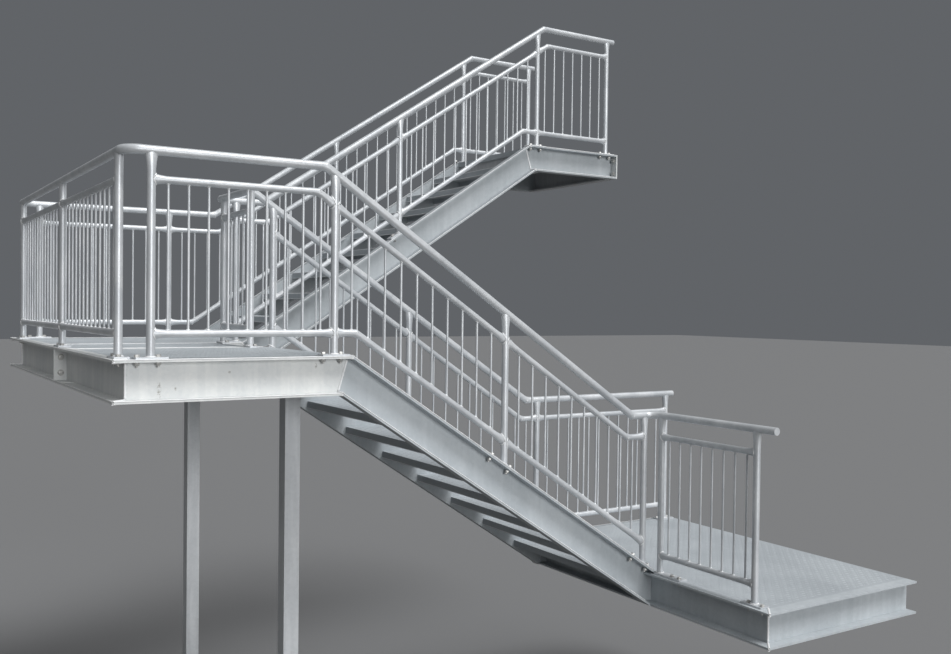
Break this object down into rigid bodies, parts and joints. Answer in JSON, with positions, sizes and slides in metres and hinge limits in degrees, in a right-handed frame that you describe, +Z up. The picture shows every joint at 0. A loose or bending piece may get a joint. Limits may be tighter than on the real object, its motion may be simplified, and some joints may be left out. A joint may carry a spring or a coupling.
{
  "type": "fire escape stair tower",
  "caption": "Galvanised steel outside stair with a lower landing, a half landing on square columns and an upper landing at the wall, with barred balustrades all round.",
  "frame": {"origin": "middle of the underside of the near column's base plate, on the ground", "axes": "+Z up; +X from the free end of the half landing towards the wall that carries the upper landing; +Y from the lower flight towards the upper flight"},
  "size_m": [4.575, 4.144, 5.1649],
  "materials": {
    "galvanised_channel": "hot-dip galvanised, matt, lightly weathered",
    "galvanised_beam": "hot-dip galvanised, matt, dull",
    "galvanised_column": "hot-dip galvanised, matt",
    "galvanised_floor_plate": "hot-dip galvanised checker plate",
    "galvanised_tube": "hot-dip galvanised, satin"
  },
  "bodies": {
    "root": {"near_side_channel": "galvanised_channel", "lower_inner_side_channel": "galvanised_channel", "upper_inner_side_channel": "galvanised_channel", "far_side_channel": "galvanised_channel", "lower_outer_stringer": "galvanised_channel", "lower_inner_stringer": "galvanised_channel", "upper_inner_stringer": "galvanised_channel", "upper_outer_stringer": "galvanised_channel", "near_end_channel": "galvanised_channel", "far_end_channel": "galvanised_channel", "near_column_beam": "galvanised_beam", "far_column_beam": "galvanised_beam", "well_edge_channel": "galvanised_channel", "near_landing_joists": "galvanised_beam", "far_landing_joists": "galvanised_beam", "near_landing_floor": "galvanised_floor_plate", "far_landing_floor": "galvanised_floor_plate", "lower_flight_treads": "galvanised_floor_plate", "upper_flight_treads": "galvanised_floor_plate", "near_column": "galvanised_column", "far_column": "galvanised_column", "lower_landing_edge_channel": "galvanised_channel", "lower_landing_far_channel": "galvanised_channel", "lower_landing_near_channel": "galvanised_channel", "lower_landing_wall_channel": "galvanised_beam", "lower_landing_joists": "galvanised_beam", "lower_landing_floor": "galvanised_floor_plate", "upper_landing_edge_beam": "galvanised_beam", "upper_landing_joist": "galvanised_beam", "upper_landing_wall_beam": "galvanised_beam", "upper_landing_floor": "galvanised_floor_plate", "upper_wall_plates": "galvanised_channel", "near_landing_balustrade": "galvanised_tube", "end_landing_balustrade": "galvanised_tube", "far_landing_balustrade": "galvanised_tube", "corner_rails": "galvanised_tube", "well_guard": "galvanised_tube", "lower_outer_balustrade": "galvanised_tube", "lower_inner_balustrade": "galvanised_tube", "upper_inner_balustrade": "galvanised_tube", "upper_outer_balustrade": "galvanised_tube", "upper_landing_inner_balustrade": "galvanised_tube", "upper_landing_outer_balustrade": "galvanised_tube", "lower_landing_edge_balustrade": "galvanised_tube", "lower_landing_inner_balustrade": "galvanised_tube"}
  },
  "joints": []
}
